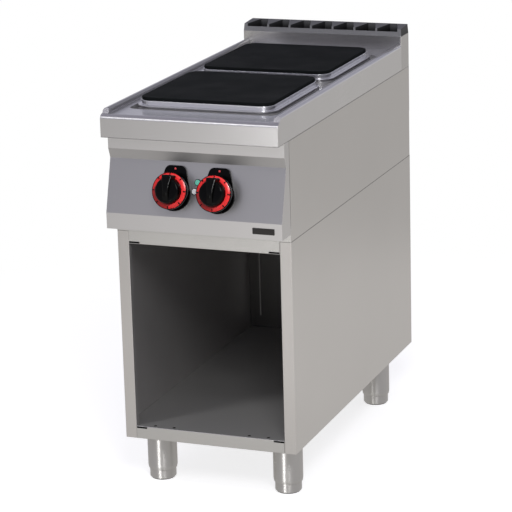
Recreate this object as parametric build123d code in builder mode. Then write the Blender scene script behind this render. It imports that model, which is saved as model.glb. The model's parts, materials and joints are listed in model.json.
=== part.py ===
from build123d import *
from math import asin, atan2, cos, hypot, sin, sqrt
import os

# Free-standing electric boiling-top range, one 400 mm module of a 900 mm deep cooking line:
# two square cast-iron hot plates, a sloped control panel, a flue grille at the back and an
# open base cabinet on four adjustable legs.
# Millimetres, +Z up, the front faces -Y, +X is the right-hand side for the cook.
# The origin is on the floor, at the middle of the whole object's footprint.

os.makedirs("parts", exist_ok=True)

# ---------------------------------------------------------------- driving dimensions
width = 400.0
depth = 900.0               # worktop lip to the back of the flue box
sheet = 1.5                 # casing and cabinet sheet
top_sheet = 2.0             # worktop sheet
thin_sheet = 1.0            # covers under the hot plates
panel_gap = 0.3             # between panels that are assembled next to each other
bend = 2.0                  # outer bend radius of visible folded edges
running_gap = 0.05          # shaft or sleeve in its bore, radial
loose_gap = 1.0             # between pieces that lift out or turn past each other

# heights, from the floor up
leg_height = 116.0
cabinet_height = 474.0
casing_height = 218.5
skirt_height = 41.5         # front lip and side skirts of the worktop
deck_rise = 8.0             # deck above the top of the front lip
rim_rise = 11.0             # side rims above the deck
upstand_height = 31.5       # flue box above the deck
grille_back_height = 20.5
grille_front_height = 17.0

# base cabinet
cabinet_setback = 63.0      # cabinet front behind the worktop lip
back_inset = 1.0            # cabinet and casing end this far in front of the flue box's back
post_width = 26.0
post_return = 14.0
flange = 15.0
bottom_rail_height = 28.5
top_rail_height = 28.5
top_rail_shelf = 40.0
duct_depth = 72.0           # service space behind the cabinet's back panel
seam_slot_inset = 29.0      # slot in the back panel, from the left wall
seam_slot_width = 3.0
seam_slot_margin = 30.0
hinge_slot_length = 24.0
hinge_slot_height = 3.5
hinge_hole_radius = 2.5
hinge_hole_insets = (111.5, 67.0)   # from the cabinet's sides
hinge_hole_inset = 10.5
plug_stand = 0.6
plug_tail = 4.0

# legs
leg_side_inset = 50.0
leg_front_inset = 145.0     # behind the worktop lip
leg_rear_inset = 136.0      # in front of the flue box's back
leg_radius = 33.0
leg_wall = 1.5
leg_taper_height = 7.0
leg_taper = 2.0
foot_radius = 29.6
foot_wall = 2.0
foot_show = 24.0            # foot below the leg tube when it is screwed right in
foot_travel = 40.0
foot_chamfer = 2.0
foot_floor = 4.0
pad_height = 2.0
pad_inset = 1.5
spindle_radius = 6.0
bush_wall = 6.0
bush_height = 58.0
guide_height = 14.0
guide_lift = 8.0            # guide ring above the tube's lower edge
cap_thickness = 3.0
leg_stud_radius = 6.0
leg_stud_length = 16.0
leg_nut_height = 10.0
leg_nut_flats = 19.0
channel_width = 90.0

# worktop
deck_nose = 12.0            # depth of the rounded nose between the front lip and the deck
lip_bend = 2.5
rim_nose = 9.0              # slope of the side rims' front ends
rim_width = 14.0
lip_return = 60.0
well_side = 32.5            # from the worktop's side to the well
well_front = 70.0
well_back = 135.0
well_depth = 10.0
well_radius = 20.0
seat_rise = 4.0             # plate seats above the deck
seat_ledge = 9.0            # seat beyond the plate's edge
plate_size = 302.0
plate_radius = 28.0
plate_pitch = 353.4
front_plate_inset = 242.0   # front plate's centre behind the lip
plate_edge = 6.9
plate_edge_round = 1.8
plate_body_inset = 6.0
plate_body_depth = 22.0
plate_pocket_depth = 14.0
plate_pocket_inset = 20.0
ring_height = 10.3
ring_stand = 1.0            # ring beyond the plate's edge
ring_wall = 1.5
opening_gap = 1.5           # round the plate's body in its seat
boss_radius = 12.0
stud_radius = 5.0
stud_length = 46.0
stud_engagement = 8.0
clamp_width = 30.0
clamp_thickness = 6.0
clamp_overlap = 6.0
nut_flats = 17.0
nut_height = 8.0
coil_radius = 4.0
coil_halves = (52.0, 82.0, 112.0)
coil_bend = 22.0
coil_gap = 12.0
terminal_size = (44.0, 26.0, 18.0)
terminal_offset = 70.0      # behind the plate's centre
tab_size = (6.0, 1.0, 10.0)
tab_pitch = 10.0

# flue
flue_depth = 58.0
flue_flange = 8.0
cell_count = 7
cell_end = 7.7              # solid end of the grille, outside its last cell
cell_rib = 4.8
cell_taper = 16.0           # each side of a cell, from its front to its back
grille_wall = 4.0
grille_lean = 2.0
grille_sill = 10.5
lug_width = 20.0
lug_height = 8.0
lug_length = 22.0
lug_inset = 63.0            # from the sides to the lugs that keep the grille in place

# control panel
panel_foot = 17.0           # casing shows this much under the control panel
strip_height = 35.0
fascia_height = 113.5
slant_height = 22.5
strip_setback = 11.0
fascia_setback = 43.5
recess_setback = 35.0
knob_spacing = 100.0
knob_centre_x = 4.5
knob_up = 54.5              # along the fascia from its lower edge
base_radius = 37.0
base_drop = 5.0             # the base's disc is this much lower than the knob's axis
base_thickness = 5.0
base_boss_radius = 33.0
base_boss_height = 12.0
base_hole_radius = 16.0
tongue_corner_radius = 13.0
tongue_half = 11.5
tongue_reach = 42.0
mark_reach = 48.2
mark_radius = 2.2
mark_stand = 0.4
mark_sink = 1.0
skirt_radius = 39.5
skirt_back_radius = 36.5
skirt_length = 22.5
skirt_rim = 5.0
dial_outer = 37.8
dial_inner = 27.5
dial_slope = 2.5            # the dial's outer edge lies this much below its inner edge
dial_thickness = 1.2
tick_count = 8
tick_width = 1.4
tick_reach = 6.0
hub_radius = 27.0
hub_height = 13.5
hub_round = 4.0
grip_tail_half = 7.0
grip_waist_half = 7.8
grip_tip_half = 13.0
grip_tip = 31.0             # pointer end of the grip, from the axis
grip_tail = 26.0
grip_end_height = 10.5
grip_height = 20.5
grip_tip_drop = 3.0         # pointer end below the grip's highest place
grip_corner = 4.0
shaft_radius = 3.0
shaft_depth = 12.0
shaft_grip = 26.0
shaft_hole = 6.5
switch_size = (48.0, 44.0, 36.0)
switch_screw_spread = 22.0
green_lamp = (6.0, 76.0)
white_lamp = (0.5, 56.5)
bezel_radius = 7.3
bezel_height = 3.0
lens_radius = 5.9
lens_height = 5.0
lens_sink = 1.5
lamp_body_radius = 5.5
lamp_body_length = 26.0
badge_size = (49.3, 13.4)
badge_inset = 41.5          # badge's middle from the panel's right end
badge_thickness = 0.8
badge_radius = 1.5

# services
step_depth = 24.0           # connection recess in the casing's back
step_up = 110.0
vent_slots = 8
vent_slot_size = (90.0, 4.0)
vent_slot_pitch = 10.0
gland_inset = 80.0          # gland's axis from the left side
gland_up = 45.0
gland_radius = 10.0
gland_bore = 7.0
gland_flange_radius = 15.0
gland_out = 20.0
gland_in = 12.0
gland_nut_height = 5.0
earth_spacing = 60.0        # bonding stud's axis from the gland's
earth_radius = 4.0
earth_length = 14.0
earth_neck_radius = 3.2     # through the sheet and in the relief beside the nut
earth_relief = 1.0
earth_nut_radius = 7.0
earth_nut_height = 4.0
block_size = (70.0, 32.0, 26.0)
block_inset = 60.0
block_slots = 5
block_slot_width = 11.0
block_slot_depth = 8.0
screw_radius = 2.0
screw_head_radius = 3.75
screw_head_height = 0.8
screw_length = 6.0
cable_radius = 4.0
cable_bend = 40.0
cable_tail = 35.0

# ---------------------------------------------------------------- places worked out from them
half_width = width / 2
cabinet_bottom_z = leg_height
cabinet_top_z = cabinet_bottom_z + cabinet_height
casing_top_z = cabinet_top_z + casing_height
lip_top_z = casing_top_z + skirt_height
deck_z = lip_top_z + deck_rise
rim_top_z = deck_z + rim_rise
flue_top_z = deck_z + upstand_height
shelf_z = cabinet_bottom_z + bottom_rail_height
opening_top_z = cabinet_top_z - top_rail_height
panel_bottom_z = cabinet_top_z + panel_foot
fascia_bottom_z = panel_bottom_z + strip_height
fascia_top_z = fascia_bottom_z + fascia_height
slant_top_z = fascia_top_z + slant_height

# the fascia leans back; heights off it are measured along its normal
fascia_run = fascia_setback - strip_setback
fascia_lean = atan2(fascia_run, fascia_height)
skirt_start = base_boss_height + loose_gap
dial_face = skirt_start + skirt_length
grip_chord = (grip_tip - grip_corner + grip_tail) / 2
grip_rise = grip_height - grip_end_height
grip_arc = (grip_chord ** 2 + grip_rise ** 2) / (2 * grip_rise)
grip_top = (grip_tip - grip_corner - grip_tail) / 2
grip_middle = knob_up + grip_top
grip_centre_height = dial_face + grip_height - grip_arc
knob_reach = (grip_centre_height * cos(fascia_lean) - grip_middle * sin(fascia_lean)
              + grip_arc - strip_setback)
front_y = (knob_reach - depth) / 2
back_y = front_y + depth

cabinet_front_y = front_y + cabinet_setback
case_back_y = back_y - back_inset
flue_front_y = back_y - flue_depth
duct_y = back_y - duct_depth
strip_y = front_y + strip_setback
fascia_top_y = front_y + fascia_setback
recess_y = front_y + recess_setback
seat_z = deck_z + seat_rise
plate_edge_z = seat_z + ring_height
plate_top_z = plate_edge_z + plate_edge
well_floor_z = deck_z - well_depth
plate_bottom_z = plate_edge_z - plate_body_depth
plate_half = plate_size / 2
plate_ys = (front_y + front_plate_inset, front_y + front_plate_inset + plate_pitch)
leg_ys = (front_y + leg_front_inset, back_y - leg_rear_inset)
leg_x = half_width - leg_side_inset
foot_top_z = leg_height - cap_thickness - foot_travel / 2
knob_xs = (knob_centre_x - knob_spacing / 2, knob_centre_x + knob_spacing / 2)
tier = {"left": 0, "right": 1}

fascia = Plane(origin=(0, strip_y, fascia_bottom_z), x_dir=(1, 0, 0),
               z_dir=(0, -cos(fascia_lean), sin(fascia_lean)))


def save(builder, name):
    """Label a finished piece and write it."""
    builder.part.label = name
    export_step(builder.part, f"parts/{name}.step")


def slab(x0, x1, y0, y1, z0, z1, mode=Mode.ADD):
    """A box between two places on each axis."""
    with Locations(((x0 + x1) / 2, (y0 + y1) / 2, (z0 + z1) / 2)):
        Box(abs(x1 - x0), abs(y1 - y0), abs(z1 - z0), mode=mode)


# ---------------------------------------------------------------- base cabinet
def cabinet_side(name, side):
    """Side wall with its folded front post; side is -1 on the left and 1 on the right."""
    outer = side * half_width
    post = outer - side * post_width
    with BuildPart() as panel:
        slab(outer, outer - side * sheet, cabinet_front_y, case_back_y,
             cabinet_bottom_z, cabinet_top_z)
        slab(outer, post, cabinet_front_y, cabinet_front_y + sheet,
             cabinet_bottom_z, cabinet_top_z)
        slab(post, post + side * sheet, cabinet_front_y, cabinet_front_y + post_return,
             cabinet_bottom_z, cabinet_top_z)
        slab(outer, outer - side * flange, case_back_y - sheet, case_back_y,
             cabinet_bottom_z, cabinet_top_z)
        upright = panel.edges().filter_by(Axis.Z).group_by(Axis.Y)[0]
        fillet(upright, bend * 0.6)
    save(panel, name)


cabinet_side("cabinet_side_left", -1)
cabinet_side("cabinet_side_right", 1)

inner_half = half_width - sheet - panel_gap
front_half = half_width - post_width - panel_gap
behind_post_y = cabinet_front_y + post_return + panel_gap
slot_middle_x = half_width - post_width - hinge_slot_length / 2 - loose_gap
hinge_hole_xs = [half_width - inset for inset in hinge_hole_insets]
hinge_slot_zs = (shelf_z - sheet - hinge_slot_height / 2,
                 opening_top_z + sheet + hinge_slot_height / 2)


def hinge_slots(z):
    """Cut the pair of hinge slots through a rail's front face, in the current part."""
    for side in (-1, 1):
        with Locations((side * slot_middle_x, cabinet_front_y + sheet / 2, z)):
            Box(hinge_slot_length, 2 * sheet, hinge_slot_height, mode=Mode.SUBTRACT)


with BuildPart() as cabinet_shelf:
    slab(-front_half, front_half, cabinet_front_y, behind_post_y, shelf_z - sheet, shelf_z)
    slab(-inner_half, inner_half, behind_post_y, case_back_y - sheet - panel_gap,
         shelf_z - sheet, shelf_z)
    slab(-front_half, front_half, cabinet_front_y, cabinet_front_y + sheet,
         cabinet_bottom_z, shelf_z)
    slab(-front_half, front_half, cabinet_front_y, cabinet_front_y + flange,
         cabinet_bottom_z, cabinet_bottom_z + sheet)
    for side in (-1, 1):
        slab(side * inner_half, side * (inner_half - sheet), behind_post_y,
             case_back_y - sheet - panel_gap, cabinet_bottom_z, shelf_z)
    slab(-inner_half, inner_half, case_back_y - 2 * sheet - panel_gap,
         case_back_y - sheet - panel_gap, cabinet_bottom_z, shelf_z)
    hinge_slots(hinge_slot_zs[0])
    with Locations([(side * x, cabinet_front_y + hinge_hole_inset, shelf_z)
                    for side in (-1, 1) for x in hinge_hole_xs]):
        Hole(hinge_hole_radius, depth=2 * sheet)
    fillet(cabinet_shelf.edges().filter_by(Axis.X).group_by(Axis.Y)[0].sort_by(Axis.Z)[-1],
           bend * 0.6)
save(cabinet_shelf, "cabinet_shelf")

with BuildPart() as cabinet_top_rail:
    slab(-front_half, front_half, cabinet_front_y, cabinet_front_y + sheet,
         opening_top_z, cabinet_top_z)
    slab(-front_half, front_half, cabinet_front_y, cabinet_front_y + flange,
         opening_top_z, opening_top_z + sheet)
    slab(-front_half, front_half, cabinet_front_y, cabinet_front_y + top_rail_shelf,
         cabinet_top_z - sheet, cabinet_top_z)
    slab(-front_half, front_half, cabinet_front_y + top_rail_shelf - sheet,
         cabinet_front_y + top_rail_shelf, cabinet_top_z - flange, cabinet_top_z)
    hinge_slots(hinge_slot_zs[1])
    fillet(cabinet_top_rail.edges().filter_by(Axis.X).group_by(Axis.Y)[0].sort_by(Axis.Z)[0],
           bend * 0.6)
save(cabinet_top_rail, "cabinet_top_rail")

with BuildPart() as cabinet_back:
    slab(-inner_half, inner_half, duct_y, duct_y + sheet, shelf_z + panel_gap,
         cabinet_top_z - panel_gap)
    for side in (-1, 1):
        slab(side * inner_half, side * (inner_half - sheet), duct_y, duct_y + flange,
             shelf_z + panel_gap, cabinet_top_z - panel_gap)
    slab(-inner_half, inner_half, duct_y, duct_y + flange, shelf_z + panel_gap,
         shelf_z + panel_gap + sheet)
    slab(seam_slot_inset - half_width, seam_slot_inset + seam_slot_width - half_width,
         duct_y - sheet, duct_y + 2 * sheet, shelf_z + seam_slot_margin,
         cabinet_top_z - seam_slot_margin, mode=Mode.SUBTRACT)
save(cabinet_back, "cabinet_back")

with BuildPart() as hinge_slot_plugs:
    for z in hinge_slot_zs:
        for side in (-1, 1):
            with Locations((side * slot_middle_x, cabinet_front_y + (plug_tail - plug_stand) / 2,
                            z)):
                Box(hinge_slot_length - 2 * running_gap, plug_tail + plug_stand,
                    hinge_slot_height - 2 * running_gap)
save(hinge_slot_plugs, "hinge_slot_plugs")


def base_channel(name, y):
    """Folded cross member under the shelf that carries two legs."""
    channel_half = inner_half - sheet - panel_gap
    with BuildPart() as channel:
        slab(-channel_half, channel_half, y - channel_width / 2, y + channel_width / 2,
             cabinet_bottom_z, cabinet_bottom_z + top_sheet)
        for edge in (-1, 1):
            slab(-channel_half, channel_half, y + edge * channel_width / 2,
                 y + edge * (channel_width / 2 - top_sheet), cabinet_bottom_z, shelf_z - sheet)
            slab(-channel_half, channel_half, y + edge * channel_width / 2,
                 y + edge * (channel_width / 2 - flange), shelf_z - sheet - top_sheet,
                 shelf_z - sheet)
        with Locations([(side * leg_x, y, cabinet_bottom_z + top_sheet) for side in (-1, 1)]):
            Hole(leg_stud_radius + running_gap, depth=2 * top_sheet)
    save(channel, name)


base_channel("base_channel_front", leg_ys[0])
base_channel("base_channel_rear", leg_ys[1])

# ---------------------------------------------------------------- legs
leg_places = {"front_left": (-leg_x, leg_ys[0]), "front_right": (leg_x, leg_ys[0]),
              "rear_left": (-leg_x, leg_ys[1]), "rear_right": (leg_x, leg_ys[1])}
guide_bottom_z = foot_show + guide_lift
bush_radius = spindle_radius + bush_wall


def leg_tube(name, x, y):
    """Tube with its cap, the threaded bush that hangs in it and the stud on top."""
    with BuildPart() as tube:
        with BuildSketch(Plane.XZ):
            with BuildLine():
                Polyline((leg_radius - leg_wall, leg_height - cap_thickness),
                         (leg_radius - leg_wall, foot_show + leg_taper_height),
                         (leg_radius - leg_wall, foot_show),
                         (leg_radius - leg_taper + leg_wall / 2, foot_show),
                         (leg_radius, foot_show + leg_taper_height),
                         (leg_radius, leg_height),
                         (leg_stud_radius, leg_height),
                         (leg_stud_radius, leg_height + leg_stud_length),
                         (0, leg_height + leg_stud_length),
                         (0, leg_height - cap_thickness),
                         (spindle_radius + running_gap, leg_height - cap_thickness),
                         (spindle_radius + running_gap, leg_height - bush_height),
                         (bush_radius, leg_height - bush_height),
                         (bush_radius, leg_height - cap_thickness),
                         close=True)
            make_face()
        revolve(axis=Axis.Z)
    tube.part.position = (x, y, 0)
    save(tube, name)


def foot_sleeve(name, x, y):
    """Adjustable foot: sleeve, closed floor and spindle."""
    with BuildPart() as foot:
        with BuildSketch(Plane.XZ):
            with BuildLine():
                Polyline((0, pad_height),
                         (foot_radius - foot_chamfer, pad_height),
                         (foot_radius, pad_height + foot_chamfer),
                         (foot_radius, foot_top_z),
                         (foot_radius - foot_wall, foot_top_z),
                         (foot_radius - foot_wall, pad_height + foot_floor),
                         (spindle_radius, pad_height + foot_floor),
                         (spindle_radius, leg_height - cap_thickness - loose_gap),
                         (0, leg_height - cap_thickness - loose_gap),
                         close=True)
            make_face()
        revolve(axis=Axis.Z)
    foot.part.position = (x, y, 0)
    save(foot, name)


def foot_pad(name, x, y):
    """Plastic pad under a foot."""
    with BuildPart() as pad:
        with Locations((x, y, 0)):
            Cylinder(foot_radius - foot_chamfer - pad_inset, pad_height,
                     align=(Align.CENTER, Align.CENTER, Align.MIN))
    save(pad, name)


for corner, (leg_cx, leg_cy) in leg_places.items():
    leg_tube(f"leg_{corner}", leg_cx, leg_cy)
    foot_sleeve(f"foot_{corner}", leg_cx, leg_cy)
    foot_pad(f"foot_pad_{corner}", leg_cx, leg_cy)

with BuildPart() as leg_guide_rings:
    with Locations([(x, y, guide_bottom_z) for x, y in leg_places.values()]):
        Cylinder(leg_radius - leg_wall, guide_height,
                 align=(Align.CENTER, Align.CENTER, Align.MIN))
        Cylinder(foot_radius + running_gap, guide_height,
                 align=(Align.CENTER, Align.CENTER, Align.MIN), mode=Mode.SUBTRACT)
save(leg_guide_rings, "leg_guide_rings")

with BuildPart() as leg_nuts:
    with BuildSketch(Plane.XY.offset(cabinet_bottom_z + top_sheet)):
        with Locations(list(leg_places.values())):
            RegularPolygon(leg_nut_flats / 2, 6, major_radius=False)
            Circle(leg_stud_radius + running_gap, mode=Mode.SUBTRACT)
    extrude(amount=leg_nut_height)
save(leg_nuts, "leg_nuts")


# ---------------------------------------------------------------- casing
# The casing's back steps inwards at the bottom, for the connections.
floor_top_z = cabinet_top_z + sheet
cover_y = case_back_y - sheet
step_y = cover_y - step_depth
step_z = cabinet_top_z + step_up
cover_screw_x = half_width - flange / 2
cover_screw_zs = (step_z + flange, casing_top_z - flange)


def casing_side(name, side):
    """Side wall of the upper unit with its folded edges."""
    outer = side * half_width
    front = cabinet_front_y + sheet + panel_gap
    with BuildPart() as panel:
        slab(outer, outer - side * sheet, front, cover_y, cabinet_top_z, casing_top_z)
        slab(outer, outer - side * flange, front, front + sheet,
             cabinet_top_z + sheet + panel_gap, casing_top_z)
        slab(outer, outer - side * flange, front, cover_y, casing_top_z - sheet, casing_top_z)
        slab(outer, outer - side * flange, cover_y - sheet, cover_y,
             step_z + sheet + panel_gap, casing_top_z)
        with Locations([Location((side * cover_screw_x, cover_y, z), (90, 0, 0))
                        for z in cover_screw_zs]):
            Cylinder(screw_radius + running_gap, 4 * sheet, mode=Mode.SUBTRACT)
    save(panel, name)


casing_side("casing_side_left", -1)
casing_side("casing_side_right", 1)

casing_front_y = cabinet_front_y + sheet
with BuildPart() as casing_floor:
    slab(-inner_half, inner_half, cabinet_front_y, cover_y, cabinet_top_z, floor_top_z)
    slab(-half_width, half_width, cabinet_front_y, casing_front_y, cabinet_top_z,
         panel_bottom_z + strip_height / 2)
save(casing_floor, "casing_floor")

gland_z = cabinet_top_z + gland_up
gland_x = gland_inset - half_width
earth_x = gland_x + earth_spacing
with BuildPart() as casing_back:
    slab(-half_width, half_width, cover_y, case_back_y, step_z, casing_top_z)
    slab(-inner_half, inner_half, step_y, case_back_y, step_z, step_z + sheet)
    slab(-inner_half, inner_half, step_y, step_y + sheet, floor_top_z, step_z + sheet)
    slab(-inner_half, inner_half, step_y - flange, step_y + sheet, floor_top_z,
         floor_top_z + sheet)
    with Locations([(0, case_back_y, step_z + (n + 2) * vent_slot_pitch)
                    for n in range(vent_slots)]):
        Box(vent_slot_size[0], 4 * sheet, vent_slot_size[1], mode=Mode.SUBTRACT)
    with Locations(Location((gland_x, step_y, gland_z), (90, 0, 0))):
        Cylinder(gland_radius + running_gap, 4 * sheet, mode=Mode.SUBTRACT)
    with Locations(Location((earth_x, step_y, gland_z), (90, 0, 0))):
        Cylinder(earth_neck_radius + running_gap, 4 * sheet, mode=Mode.SUBTRACT)
    with Locations([Location((side * cover_screw_x, cover_y, z), (90, 0, 0))
                    for side in (-1, 1) for z in cover_screw_zs]):
        Cylinder(screw_radius + running_gap, 4 * sheet, mode=Mode.SUBTRACT)
save(casing_back, "casing_back")

# ---------------------------------------------------------------- control panel
panel_back_y = cabinet_front_y - panel_gap
panel_outline = [(panel_back_y, panel_bottom_z), (strip_y, panel_bottom_z),
                 (strip_y, fascia_bottom_z), (fascia_top_y, fascia_top_z),
                 (recess_y, slant_top_z), (recess_y, casing_top_z), (panel_back_y, casing_top_z)]


def inward(points, wall):
    """Move the corners of an outline, listed clockwise from +X, inwards by a wall."""
    moved = []
    for n in range(1, len(points) - 1):
        (ya, za), (yb, zb), (yc, zc) = points[n - 1:n + 2]
        first = (hypot(yb - ya, zb - za), hypot(yc - yb, zc - zb))
        na = ((zb - za) / first[0], -(yb - ya) / first[0])
        nb = ((zc - zb) / first[1], -(yc - yb) / first[1])
        share = wall / (1 + na[0] * nb[0] + na[1] * nb[1])
        moved.append((yb + share * (na[0] + nb[0]), zb + share * (na[1] + nb[1])))
    return moved


with BuildPart() as control_panel:
    with BuildSketch(Plane.YZ):
        with BuildLine():
            Polyline(*panel_outline, close=True)
        make_face()
    extrude(amount=half_width, both=True)
    folded = control_panel.edges().filter_by(Axis.X).group_by(Axis.Y)[:-1]
    with BuildSketch(Plane.YZ):
        with BuildLine():
            Polyline((cabinet_front_y, panel_bottom_z + sheet), *inward(panel_outline, sheet),
                     (cabinet_front_y, casing_top_z - sheet), close=True)
        make_face()
    extrude(amount=half_width - sheet, both=True, mode=Mode.SUBTRACT)
    for knob_x in knob_xs:
        with BuildSketch(fascia.offset(sheet)):
            with Locations((knob_x, knob_up)):
                Circle(shaft_hole)
            with Locations((knob_x - switch_screw_spread / 2, knob_up),
                           (knob_x + switch_screw_spread / 2, knob_up)):
                Circle(screw_radius + running_gap)
        extrude(amount=-3 * sheet, mode=Mode.SUBTRACT)
    with BuildSketch(fascia.offset(sheet)):
        with Locations(green_lamp, white_lamp):
            Circle(lamp_body_radius + running_gap)
    extrude(amount=-3 * sheet, mode=Mode.SUBTRACT)
save(control_panel, "control_panel")

badge_z = panel_bottom_z + strip_height / 2
with BuildPart() as badge_plate:
    with BuildSketch(Plane.XZ.offset(-strip_y)):
        with Locations((half_width - badge_inset, badge_z)):
            RectangleRounded(*badge_size, badge_radius)
    extrude(amount=badge_thickness)
save(badge_plate, "badge_plate")


# ---------------------------------------------------------------- knobs and switches
def knob_base(name, x):
    """Fixed base under a knob, with the tongue that carries the pointer mark."""
    with BuildPart() as base:
        with BuildSketch(fascia):
            with Locations((x, knob_up - base_drop)):
                Circle(base_radius)
            with Locations((x - tongue_half, knob_up + tongue_reach),
                           (x + tongue_half, knob_up + tongue_reach)):
                Circle(tongue_corner_radius)
            make_hull()
        extrude(amount=base_thickness)
        with BuildSketch(fascia.offset(base_thickness)):
            with Locations((x, knob_up)):
                Circle(base_boss_radius)
        extrude(amount=base_boss_height - base_thickness)
        with BuildSketch(fascia):
            with Locations((x, knob_up)):
                Circle(base_hole_radius)
        extrude(amount=base_boss_height, mode=Mode.SUBTRACT)
        with BuildSketch(fascia.offset(base_thickness)):
            with Locations((x, knob_up + mark_reach)):
                Circle(mark_radius + running_gap)
        extrude(amount=-mark_sink, mode=Mode.SUBTRACT)
    save(base, name)


def knob_plane(x):
    """Plane through a knob's axis: its x runs up the fascia and its y along the normal."""
    return Plane(origin=fascia.from_local_coords(Vector(x, knob_up, 0)),
                 x_dir=fascia.y_dir, z_dir=Vector(1, 0, 0))


def knob_axis(x):
    """Axis that a knob turns about."""
    return Axis(origin=fascia.from_local_coords(Vector(x, knob_up, 0)),
                direction=fascia.z_dir)


def knob_body(name, x):
    """Skirt, hub and grip; the grip points up the fascia when the switch is off."""
    hub_front = dial_face + hub_height
    groove = running_gap + dial_thickness
    with BuildPart() as knob:
        with BuildSketch(knob_plane(x)):
            with BuildLine():
                Polyline((0, skirt_start), (skirt_back_radius, skirt_start),
                         (skirt_radius, dial_face - dial_slope - skirt_rim),
                         (skirt_radius, dial_face - dial_slope - dial_thickness),
                         (dial_outer + running_gap, dial_face - dial_slope),
                         (dial_outer + running_gap, dial_face - dial_slope - groove),
                         (dial_inner - running_gap, dial_face - groove),
                         (dial_inner - running_gap, dial_face),
                         (hub_radius, dial_face),
                         (hub_radius, hub_front - hub_round),
                         (hub_radius - hub_round, hub_front),
                         (0, hub_front), close=True)
            make_face()
        revolve(axis=knob_axis(x))
        with BuildPart(mode=Mode.PRIVATE) as grip:
            with BuildSketch(fascia.offset(dial_face)):
                with BuildLine():
                    Polyline((x - grip_tail_half, knob_up - grip_tail),
                             (x + grip_tail_half, knob_up - grip_tail),
                             (x + grip_waist_half, knob_up),
                             (x + grip_tip_half, knob_up + grip_tip),
                             (x - grip_tip_half, knob_up + grip_tip),
                             (x - grip_waist_half, knob_up), close=True)
                make_face()
                fillet(vertices().group_by(Axis.Y)[-1], grip_corner)
            extrude(amount=grip_height + loose_gap)
            with BuildSketch(knob_plane(x)):
                with BuildLine():
                    back = ThreePointArc((-grip_tail, dial_face + grip_end_height),
                                         (grip_top - 0.7 * grip_chord,
                                          grip_centre_height + sqrt(grip_arc ** 2
                                                                    - (0.7 * grip_chord) ** 2)),
                                         (grip_top, dial_face + grip_height))
                    Polyline(back @ 1, (grip_tip, dial_face + grip_height - grip_tip_drop),
                             (grip_tip, dial_face), (-grip_tail, dial_face), back @ 0)
                make_face()
            extrude(amount=2 * grip_tip_half, both=True, mode=Mode.INTERSECT)
        add(grip.part)
        with BuildSketch(fascia.offset(skirt_start)):
            with Locations((x, knob_up)):
                Circle(shaft_radius + running_gap)
        extrude(amount=shaft_grip, mode=Mode.SUBTRACT)
    save(knob, name)


def dial_ring(name, x):
    """Coloured sloping ring let into the knob's face, with a slot for each graduation."""
    with BuildPart() as ring:
        with BuildSketch(knob_plane(x)):
            with BuildLine():
                Polyline((dial_inner, dial_face), (dial_outer, dial_face - dial_slope),
                         (dial_outer, dial_face - dial_slope - dial_thickness),
                         (dial_inner, dial_face - dial_thickness), close=True)
            make_face()
        revolve(axis=knob_axis(x))
        with BuildSketch(fascia.offset(dial_face)):
            with Locations((x, knob_up)):
                with PolarLocations(dial_outer - tick_reach / 2, tick_count, start_angle=90):
                    Rectangle(tick_reach + 1.0, tick_width)
        extrude(amount=-dial_slope - 2 * dial_thickness, mode=Mode.SUBTRACT)
    save(ring, name)


def switch_body(name, x):
    """Rotary switch behind the fascia."""
    with BuildPart() as body:
        with BuildSketch(fascia.offset(-sheet)):
            with Locations((x, knob_up)):
                RectangleRounded(switch_size[0], switch_size[1], 4.0)
        extrude(amount=-switch_size[2])
        with BuildSketch(fascia.offset(-sheet)):
            with Locations((x, knob_up)):
                Circle(shaft_radius + running_gap)
            with Locations((x - switch_screw_spread / 2, knob_up),
                           (x + switch_screw_spread / 2, knob_up)):
                Circle(screw_radius + running_gap)
        extrude(amount=-shaft_depth, mode=Mode.SUBTRACT)
        with BuildSketch(fascia.offset(-sheet - switch_size[2])):
            with Locations((x, knob_up)):
                with GridLocations(tab_pitch, 2 * tab_pitch, 3, 2):
                    Rectangle(tab_size[0], tab_size[1])
        extrude(amount=-tab_size[2])
    save(body, name)


def switch_shaft(name, x):
    """Shaft from the switch into the knob."""
    with BuildPart() as shaft:
        with BuildSketch(fascia.offset(-sheet - shaft_depth + loose_gap)):
            with Locations((x, knob_up)):
                Circle(shaft_radius)
        extrude(amount=sheet + shaft_depth + skirt_start + shaft_grip - 2 * loose_gap)
    save(shaft, name)


for hand, knob_x in zip(("left", "right"), knob_xs):
    knob_base(f"knob_base_{hand}", knob_x)
    knob_body(f"knob_{hand}", knob_x)
    dial_ring(f"dial_ring_{hand}", knob_x)
    switch_body(f"energy_switch_{hand}", knob_x)
    switch_shaft(f"switch_shaft_{hand}", knob_x)

with BuildPart() as pointer_marks:
    with BuildSketch(fascia.offset(base_thickness - mark_sink)):
        with Locations([(x, knob_up + mark_reach) for x in knob_xs]):
            Circle(mark_radius)
    extrude(amount=mark_sink + mark_stand)
save(pointer_marks, "pointer_marks")


def pilot_lens(name, place):
    """Coloured cap of a pilot lamp."""
    with BuildPart() as lens:
        with BuildSketch(fascia.offset(bezel_height - lens_sink)):
            with Locations(place):
                Circle(lens_radius)
        extrude(amount=lens_height - bezel_height + lens_sink)
        fillet(lens.edges().filter_by(GeomType.CIRCLE).sort_by(Axis(
            origin=fascia.origin, direction=fascia.z_dir))[-1], 1.2)
    save(lens, name)


pilot_lens("pilot_lens_green", green_lamp)
pilot_lens("pilot_lens_white", white_lamp)

with BuildPart() as pilot_lamp_bodies:
    with BuildSketch(fascia):
        with Locations(green_lamp, white_lamp):
            Circle(bezel_radius)
    extrude(amount=bezel_height)
    with BuildSketch(fascia.offset(bezel_height)):
        with Locations(green_lamp, white_lamp):
            Circle(lens_radius + running_gap)
    extrude(amount=-lens_sink, mode=Mode.SUBTRACT)
    with BuildSketch(fascia):
        with Locations(green_lamp, white_lamp):
            Circle(lamp_body_radius)
    extrude(amount=-lamp_body_length)
save(pilot_lamp_bodies, "pilot_lamp_bodies")

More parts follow.
